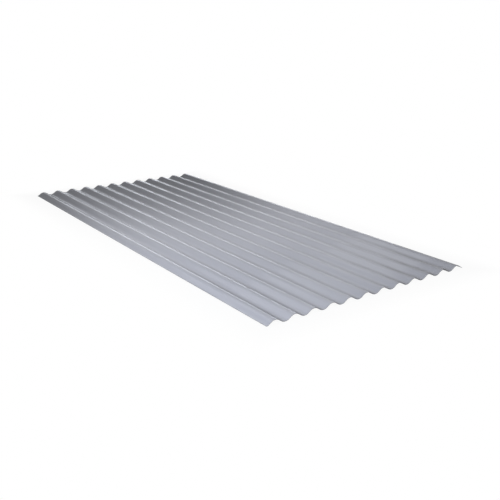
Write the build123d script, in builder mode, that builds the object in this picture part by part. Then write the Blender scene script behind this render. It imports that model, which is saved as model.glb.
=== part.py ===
from build123d import *
import os
from math import atan, degrees

# Corrugated roofing sheet of rigid PVC, lying flat on the undersides of its valleys.
# Millimetres. X runs across the waves, Y along the sheet, Z up.
# The origin is the middle of the sheet, at the height that it lies on.

# Wave profile, a standard section that nests in the next sheet of a roof
pitch = 76.0  # crest to crest
profile_depth = 16.0  # underside of a valley to top of a crest
thickness = 1.2  # of the wall, the same all over
flank_straight = 10.4  # flat stretch of each flank, between its two bends

# Sheet
crest_count = 12
edge_reach = 32.0  # outermost crest to slit edge, so that both edges turn down
sheet_length = 2000.0

# The wall is bent to one radius over crests and valleys alike, measured at its middle.
# Two equal bends and the flat stretch between them climb mid_depth within half_pitch,
# and that settles both the radius and the slope of the flanks.
half_pitch = pitch / 2
mid_depth = profile_depth - thickness
bend_radius = (half_pitch**2 + mid_depth**2 - flank_straight**2) / (4 * mid_depth)
flank_angle = degrees(2 * atan(mid_depth / (half_pitch + flank_straight)))
crest_height = profile_depth - thickness / 2  # of the middle of the wall

sheet_width = (crest_count - 1) * pitch + 2 * edge_reach
spare_waves = 2  # one drawn beyond each slit edge, and trimmed off

# Middle of the wall over half a wave, from the top of a crest to the bottom of a valley,
# and its mirror image over the other half
with BuildLine() as wave:
    crest_bend = JernArc((0, crest_height), (1, 0), bend_radius, -flank_angle)
    flank = PolarLine(crest_bend @ 1, flank_straight, direction=crest_bend % 1)
    valley_bend = JernArc(flank @ 1, flank % 1, bend_radius, flank_angle)
    mirror(about=Plane.YZ)

# The wave repeated across the sheet, thickened to the wall and slit to width, is the
# section, and the sheet is that section drawn out to its length
with BuildPart() as corrugated_sheet:
    with BuildSketch(Plane.XZ) as section:
        with BuildLine() as wall_middle:
            with GridLocations(pitch, 0, crest_count + spare_waves, 1):
                add(wave.line)
            offset(amount=thickness / 2, mode=Mode.REPLACE)
        make_face()
        Rectangle(sheet_width, 2 * profile_depth, mode=Mode.INTERSECT)
    extrude(amount=sheet_length / 2, both=True)

corrugated_sheet.part.label = "corrugated_sheet"

os.makedirs("parts", exist_ok=True)
export_step(corrugated_sheet.part, "parts/corrugated_sheet.step")
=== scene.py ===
import math

import bmesh
import bpy
from mathutils import Matrix, Vector


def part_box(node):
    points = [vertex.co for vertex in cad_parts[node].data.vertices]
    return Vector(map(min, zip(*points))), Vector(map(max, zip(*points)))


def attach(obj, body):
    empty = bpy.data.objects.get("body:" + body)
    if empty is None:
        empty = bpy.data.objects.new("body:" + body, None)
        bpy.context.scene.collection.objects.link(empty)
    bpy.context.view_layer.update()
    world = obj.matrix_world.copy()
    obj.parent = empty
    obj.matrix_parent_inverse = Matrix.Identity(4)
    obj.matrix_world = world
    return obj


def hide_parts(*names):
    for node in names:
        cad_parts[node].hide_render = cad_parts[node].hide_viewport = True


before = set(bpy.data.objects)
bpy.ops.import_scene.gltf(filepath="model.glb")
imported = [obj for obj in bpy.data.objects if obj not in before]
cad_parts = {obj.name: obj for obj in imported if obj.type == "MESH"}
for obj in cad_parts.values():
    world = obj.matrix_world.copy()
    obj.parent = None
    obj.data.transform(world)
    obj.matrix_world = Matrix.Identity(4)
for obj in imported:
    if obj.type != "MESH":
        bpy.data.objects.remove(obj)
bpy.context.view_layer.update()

# Sheet, in metres, in the frame's axes: X across the waves, Y along them, Z up
NODE = "corrugated_sheet"
sheet_low, sheet_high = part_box(NODE)
PITCH = 0.076  # crest to crest
WALL = 0.0012
FLANK_STRAIGHT = 0.0104  # flat stretch of each flank, between its two bends
ARRIS = 0.00015  # sawing and slitting leave the edges this round

HALF_WIDTH = (sheet_high.x - sheet_low.x) / 2
HALF_LENGTH = (sheet_high.y - sheet_low.y) / 2
DEPTH = sheet_high.z - sheet_low.z
HALF_PITCH = PITCH / 2
MID_DEPTH = DEPTH - WALL
BEND_RADIUS = (HALF_PITCH**2 + MID_DEPTH**2 - FLANK_STRAIGHT**2) / (4 * MID_DEPTH)
FLANK_ANGLE = 2 * math.atan(MID_DEPTH / (HALF_PITCH + FLANK_STRAIGHT))
CREST_COUNT = round(2 * HALF_WIDTH / PITCH)
CRESTS = [(n - (CREST_COUNT - 1) / 2) * PITCH for n in range(CREST_COUNT)]

# Fineness of the mesh
BEND_STEPS = 12  # over the half of a bend
RING_STEP = 0.05  # along the sheet
EDGE_CLEAR = 5 * ARRIS  # at the slit edges, where the wave has no points of its own
SAME_PLACE = 6  # decimals of a metre to which two points count as one
ARRIS_TURNS = (0.0, math.pi / 4, math.pi / 2)
# The points of an arris, each as its distances in from the two faces that the arris joins
ARRIS_POINTS = [(ARRIS * (1 - math.sin(turn)), ARRIS * (1 - math.cos(turn))) for turn in ARRIS_TURNS]


def face_height(x, lift):
    """Height at x of the face that lies lift above the middle of the wall."""
    crest_radius = BEND_RADIUS + lift
    valley_radius = BEND_RADIUS - lift
    crest_centre = DEPTH - WALL / 2 - BEND_RADIUS
    valley_centre = WALL / 2 + BEND_RADIUS
    from_crest = abs((x - CRESTS[0] + HALF_PITCH) % PITCH - HALF_PITCH)
    from_valley = HALF_PITCH - from_crest
    if from_crest <= crest_radius * math.sin(FLANK_ANGLE):
        return crest_centre + math.sqrt(crest_radius**2 - from_crest**2)
    if from_valley <= valley_radius * math.sin(FLANK_ANGLE):
        return valley_centre - math.sqrt(valley_radius**2 - from_valley**2)
    past_bend = from_crest - crest_radius * math.sin(FLANK_ANGLE)
    return crest_centre + crest_radius * math.cos(FLANK_ANGLE) - past_bend * math.tan(FLANK_ANGLE)


def face_stations(lift):
    """Places across the sheet of the points on the bends of the face that lies lift above the middle.

    Both faces have them square to the same places of the wall's middle, so the two sets match one to one.
    """
    found = {}
    for crest in CRESTS:
        for step in range(BEND_STEPS + 1):
            turn = math.sin(FLANK_ANGLE * step / BEND_STEPS)
            on_crest = (BEND_RADIUS * turn, (BEND_RADIUS + lift) * turn)
            in_valley = (HALF_PITCH - BEND_RADIUS * turn, HALF_PITCH - (BEND_RADIUS - lift) * turn)
            for middle, face in (on_crest, in_valley):
                for side in (-1, 1):
                    place = crest + side * middle
                    if abs(place) < HALF_WIDTH - EDGE_CLEAR:
                        found[round(place, SAME_PLACE)] = crest + side * face
    return [found[place] for place in sorted(found)]


def section(inset):
    """Points of the section's upper and of its lower face, from left to right, inset all round."""
    corner = [(HALF_WIDTH - inset - across, inset + down) for across, down in ARRIS_POINTS]
    rows = []
    for side in (1, -1):
        points = [(-x, drop) for x, drop in reversed(corner)]
        points += [(x, inset) for x in face_stations(side * WALL / 2)]
        points += corner
        rows.append([(x, face_height(x, side * (WALL / 2 - drop))) for x, drop in points])
    return rows


def ring_places():
    """Places of the mesh's rings along the sheet, each with the inset of its section."""
    near = [(-HALF_LENGTH + from_end, inset) for inset, from_end in ARRIS_POINTS]
    span = 2 * HALF_LENGTH - 2 * ARRIS
    count = round(span / RING_STEP)
    middle = [(-HALF_LENGTH + ARRIS + span * n / count, 0.0) for n in range(1, count)]
    far = [(-y, inset) for y, inset in reversed(near)]
    return [*near, *middle, *far]


def add_strip(made, first, second, flip=False):
    """Faces between two rows of points that run side by side."""
    for n in range(len(first) - 1):
        corners = [first[n], first[n + 1], second[n + 1], second[n]]
        made.faces.new(reversed(corners) if flip else corners)


def sheet_mesh():
    """The sheet as one closed mesh: rings along the sheet, with a small round at each cut end."""
    made = bmesh.new()
    rings = []
    for y, inset in ring_places():
        rings.append([[made.verts.new((x, y, z)) for x, z in row] for row in section(inset)])
    for (upper, lower), (next_upper, next_lower) in zip(rings, rings[1:]):
        add_strip(made, upper, next_upper)
        add_strip(made, lower, next_lower, flip=True)
        add_strip(made, [lower[0], upper[0]], [next_lower[0], next_upper[0]])
        add_strip(made, [lower[-1], upper[-1]], [next_lower[-1], next_upper[-1]], flip=True)
    for (upper, lower), flip in ((rings[0], False), (rings[-1], True)):
        add_strip(made, lower, upper, flip)
    mesh = bpy.data.meshes.new("pvc_sheet")
    made.to_mesh(mesh)
    made.free()
    mesh.shade_smooth()
    return mesh


def link(thing):
    bpy.context.scene.collection.objects.link(thing)
    return thing


# Sockets of a Mix node that mixes colours, which has others of the same names
MIX_SHARE = 0
MIX_FIRST = 6
MIX_SECOND = 7
MIX_RESULT = 2


class Shader:
    """A material's or the world's nodes, written down as calls."""

    def __init__(self, owner, output):
        owner.use_nodes = True
        self.tree = owner.node_tree
        self.tree.nodes.clear()
        self.output = self.node(output)

    def feed(self, socket, value):
        if isinstance(value, bpy.types.NodeSocket):
            self.tree.links.new(value, socket)
        else:
            socket.default_value = value

    def node(self, kind, inputs=None, **settings):
        made = self.tree.nodes.new("ShaderNode" + kind)
        for name, value in settings.items():
            setattr(made, name, value)
        for name, value in (inputs or {}).items():
            self.feed(made.inputs[name], value)
        return made

    def math(self, operation, *values):
        made = self.node("Math", dict(enumerate(values)), operation=operation)
        return made.outputs[0]

    def plus(self, base, value, share):
        """Base with that share of value added."""
        return self.math("MULTIPLY_ADD", value, share, base)

    def swing(self, base, noise, share):
        """Base with that share of a noise's swing about 0.5 added."""
        return self.plus(base, self.math("SUBTRACT", noise, 0.5), share)

    def noise(self, place, per_metre, detail=2.0):
        """Noise about 0.5, with so many grains to the metre along each axis."""
        grains = self.node("Mapping", {"Vector": place, "Scale": per_metre}).outputs["Vector"]
        return self.node("TexNoise", {"Vector": grains, "Scale": 1.0, "Detail": detail}).outputs["Fac"]

    def ramp(self, value, low, high, at_low=0.0, at_high=1.0):
        """Number eased from at_low to at_high while value goes from low to high."""
        ends = {"Value": value, "From Min": low, "From Max": high, "To Min": at_low, "To Max": at_high}
        return self.node("MapRange", ends, interpolation_type="SMOOTHSTEP").outputs["Result"]

    def blend(self, share, first, second):
        """Colour between first and second, at that share of the way."""
        ends = {MIX_SHARE: share, MIX_FIRST: first, MIX_SECOND: second}
        return self.node("Mix", ends, data_type="RGBA").outputs[MIX_RESULT]


PVC = (0.446, 0.449, 0.485)
SKIN_LEVELS = (0.96, 1.04)  # of the PVC's colour, where the skin is darkest and palest
CUT_PAINTED_SHADE_LEVELS = (0.20, 0.32)  # the same on the sawn edges, which are darkened far below the skin as painted shade
ROUGHNESS = 0.5
RELIEF = 0.000012  # metres

# Grains of the noises to the metre, across the sheet, along it and up
CLOUDS = (4.0, 1.5, 4.0)
DIE_LINES = (420.0, 0.9, 420.0)
FINE_GRAIN = (1500.0, 1500.0, 1500.0)
SCUFFS = (1600.0, 7.0, 1600.0)
SAW_MARKS = (2600.0, 2600.0, 300.0)
PEEL = (160.0, 90.0, 160.0)

# Where scuffs begin and where they are full, by their noise and by depth below the tops of the crests
SCUFF_NOISE = (0.66, 0.78)
SCUFF_DEPTHS = (0.004, 0.0005)

# Where a cut face begins and where it is full, by how far the surface faces along or across the sheet
END_FACING = (0.5, 0.9)
SIDE_FACING = (0.8, 0.95)


def shade_of(colour, level):
    return (*(level * part for part in colour), 1.0)


def cut_share(shader, normal):
    """One on the sawn ends and the slit sides, and nought on the skin."""
    facing = shader.node("SeparateXYZ", {"Vector": normal}).outputs
    on_end = shader.ramp(shader.math("ABSOLUTE", facing["Y"]), *END_FACING)
    on_side = shader.ramp(shader.math("ABSOLUTE", facing["X"]), *SIDE_FACING)
    return shader.math("MAXIMUM", on_end, on_side)


def crest_scuffs(shader, place):
    """One in the scuffs along the tops of the crests, and nought beside and below them."""
    height = shader.node("SeparateXYZ", {"Vector": place}).outputs["Z"]
    scuffs = shader.ramp(shader.noise(place, SCUFFS, detail=4.0), *SCUFF_NOISE)
    on_crests = shader.ramp(height, *(DEPTH - depth for depth in SCUFF_DEPTHS))
    return shader.math("MULTIPLY", scuffs, on_crests)


def pvc_material():
    """Grey PVC: a glossy skin with faint lines from its die, fine grain and scuffs, and matt sawn edges
    darkened with painted shade.
    """
    material = bpy.data.materials.new("pvc")
    shader = Shader(material, "OutputMaterial")
    spot = shader.node("TexCoord").outputs
    place = spot["Object"]
    clouds = shader.noise(place, CLOUDS)
    die_lines = shader.noise(place, DIE_LINES, detail=3.0)
    saw_marks = shader.noise(place, SAW_MARKS, detail=3.0)
    scuffs = crest_scuffs(shader, place)
    is_cut = cut_share(shader, spot["Normal"])

    tone = shader.swing(0.5, clouds, 1.2)
    tone = shader.swing(tone, die_lines, 0.9)
    tone = shader.swing(tone, shader.noise(place, FINE_GRAIN), 0.8)
    tone = shader.plus(tone, scuffs, 0.5)
    skin = shader.blend(tone, *(shade_of(PVC, level) for level in SKIN_LEVELS))
    # Sawn edges: the PVC's colour darkened as painted shade, varied by saw marks
    cut_with_painted_shade = shader.blend(saw_marks, *(shade_of(PVC, level) for level in CUT_PAINTED_SHADE_LEVELS))

    rough = shader.swing(ROUGHNESS, clouds, 0.08)
    rough = shader.swing(rough, die_lines, 0.10)
    rough = shader.plus(rough, scuffs, 0.15)
    rough = shader.plus(rough, is_cut, 0.25)

    relief = shader.plus(shader.noise(place, PEEL), die_lines, 0.35)
    relief = shader.plus(relief, shader.math("MULTIPLY", saw_marks, is_cut), 2.0)
    bump = shader.node("Bump", {"Height": relief, "Strength": 1.0, "Distance": RELIEF}).outputs["Normal"]

    # The gloss is in the skin that the die leaves on a matt body, so the coat carries it
    finish = {
        # The cut faces take their painted shade here
        "Base Color": shader.blend(is_cut, skin, cut_with_painted_shade),
        "Roughness": rough,
        "Specular IOR Level": 0.0,
        "Coat Weight": 0.4,
        "Coat Roughness": 0.12,
        "Coat IOR": 1.53,
        "Normal": bump,
        "Coat Normal": bump,
    }
    surface = shader.node("BsdfPrincipled", finish)
    shader.feed(shader.output.inputs["Surface"], surface.outputs["BSDF"])
    return material


def build_sheet():
    sheet = link(bpy.data.objects.new("pvc_sheet", sheet_mesh()))
    sheet.data.materials.append(pvc_material())
    sheet.modifiers.new("even_shading", "WEIGHTED_NORMAL")
    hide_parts(NODE)
    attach(sheet, "root")


# Camera, as it stood for the picture: angles in radians, places in metres
CAMERA_AZIMUTH = -0.65135  # seen from its target, from the sheet's near end towards its right
CAMERA_ELEVATION = 0.31569
CAMERA_ROLL = 0.01009
CAMERA_DISTANCE = 2.725753
CAMERA_TARGET = Vector((0.009478, -0.453399, 0.008))
CAMERA_REACH = (0.01, 100.0)  # the nearest and the farthest that it sees
SENSOR = 36.0  # millimetres, as the lens
LENS = 49.74604
PICTURE_SIDE = 500  # pixels
CENTRE_X = 278.92  # the pixel column that the lens's axis meets


def build_camera():
    data = bpy.data.cameras.new("camera")
    camera = link(bpy.data.objects.new("camera", data))
    flat = math.cos(CAMERA_ELEVATION)
    back = Vector((
        math.sin(CAMERA_AZIMUTH) * flat,
        -math.cos(CAMERA_AZIMUTH) * flat,
        math.sin(CAMERA_ELEVATION),
    ))
    camera.rotation_mode = "QUATERNION"
    camera.location = CAMERA_TARGET + back * CAMERA_DISTANCE
    level = (-back).to_track_quat("-Z", "Y").to_matrix()
    camera.rotation_quaternion = (level @ Matrix.Rotation(CAMERA_ROLL, 3, "Z")).to_quaternion()
    data.sensor_width = SENSOR
    data.lens = LENS
    data.shift_x = (PICTURE_SIDE / 2 - CENTRE_X) / PICTURE_SIDE
    data.clip_start, data.clip_end = CAMERA_REACH
    bpy.context.scene.camera = camera


NEUTRAL = (1.0, 1.0, 1.0)
COOL = (0.85, 0.9, 1.0)
SHEET_MIDDLE = (0.0, 0.0, 0.0)
OVERHEAD_SIZE = (0.5, 0.5)
LOW_SIZE = (0.4, 0.4)


def soft_light(name, place, target, size, watts, colour):
    """A softbox at place, facing target, with its width and height in metres."""
    data = bpy.data.lights.new(name, "AREA")
    data.shape = "RECTANGLE"
    data.size, data.size_y = size
    data.energy = watts
    data.color = colour
    light = link(bpy.data.objects.new(name, data))
    light.visible_camera = False
    light.location = place
    light.rotation_mode = "QUATERNION"
    light.rotation_quaternion = (Vector(target) - Vector(place)).to_track_quat("-Z", "Y")


def overhead_light(name, x, y, z, watts):
    """A softbox that faces straight down."""
    soft_light(name, (x, y, z), (x, y, 0.0), OVERHEAD_SIZE, watts, NEUTRAL)


def build_lights():
    """Softboxes over the sheet and low on its left, and two banks far behind it that the crests mirror."""
    overhead_light("over_near_end", 0.15, -0.9, 1.1, 3.25)
    overhead_light("over_middle", -0.35, -0.1, 0.7, 1.54)
    overhead_light("over_right", 0.35, -0.1, 0.7, 1.52)
    overhead_light("over_left", -0.7, 0.3, 0.7, 1.05)
    soft_light("low_near_left", (-1.2, -1.8, 0.6), SHEET_MIDDLE, LOW_SIZE, 13.6, COOL)
    soft_light("low_left", (-1.2, -0.6, 0.6), SHEET_MIDDLE, LOW_SIZE, 4.8, COOL)
    soft_light("far_behind", (3.44, 4.19, 0.95), SHEET_MIDDLE, (3.4, 0.8), 56.1, COOL)
    soft_light("far_left_behind", (1.6, 5.18, 0.95), SHEET_MIDDLE, (0.9, 0.8), 9.3, COOL)


def background_share(shader):
    """One for what the camera, reflections and glass see, and nought for the light on the sheet."""
    path = shader.node("LightPath")
    seen = shader.math("MAXIMUM", path.outputs["Is Camera Ray"], path.outputs["Is Glossy Ray"])
    return shader.math("MAXIMUM", seen, path.outputs["Is Transmission Ray"])


FLOOR_SIDE = 60.0
FLOOR_SHADE = (0.85, 0.85, 0.85, 1.0)
SHADOW_SHARE = 0.06  # of the floor's look that is its own lit shade, beside the sheet
SHADOW_REACH = 0.15  # from the sheet's outline, where the floor has faded to plain white


def build_floor():
    half = FLOOR_SIDE / 2
    corners = [(-half, -half, 0.0), (half, -half, 0.0), (half, half, 0.0), (-half, half, 0.0)]
    mesh = bpy.data.meshes.new("floor")
    mesh.from_pydata(corners, [], [range(len(corners))])
    floor = link(bpy.data.objects.new("floor", mesh))
    material = bpy.data.materials.new("pale_floor")
    shader = Shader(material, "OutputMaterial")
    place = shader.node("SeparateXYZ", {"Vector": shader.node("TexCoord").outputs["Object"]})
    past_side = shader.math("SUBTRACT", shader.math("ABSOLUTE", place.outputs["X"]), HALF_WIDTH)
    past_end = shader.math("SUBTRACT", shader.math("ABSOLUTE", place.outputs["Y"]), HALF_LENGTH)
    past = shader.math("MAXIMUM", past_side, past_end)
    shadow = shader.ramp(past, 0.0, SHADOW_REACH, SHADOW_SHARE, 0.0)
    share = shader.math("MULTIPLY", background_share(shader), shader.math("SUBTRACT", 1.0, shadow))
    lit = shader.node("BsdfDiffuse", {"Color": FLOOR_SHADE})
    white = shader.node("Emission", {"Strength": 1.0})
    mix = shader.node("MixShader", {0: share, 1: lit.outputs[0], 2: white.outputs[0]})
    shader.feed(shader.output.inputs["Surface"], mix.outputs[0])
    mesh.materials.append(material)


WORLD_LEVEL = 0.015
WHITE = (1.0, 1.0, 1.0, 1.0)


def build_world():
    world = bpy.data.worlds.new("studio")
    bpy.context.scene.world = world
    shader = Shader(world, "OutputWorld")
    fill = shader.node("Background", {"Strength": WORLD_LEVEL})
    white = shader.node("Background", {"Color": WHITE, "Strength": 1.0})
    mix = shader.node("MixShader", {0: background_share(shader), 1: fill.outputs[0], 2: white.outputs[0]})
    shader.feed(shader.output.inputs["Surface"], mix.outputs[0])


build_sheet()
build_floor()
build_world()
build_lights()
build_camera()
bpy.context.scene.view_settings.view_transform = "Standard"
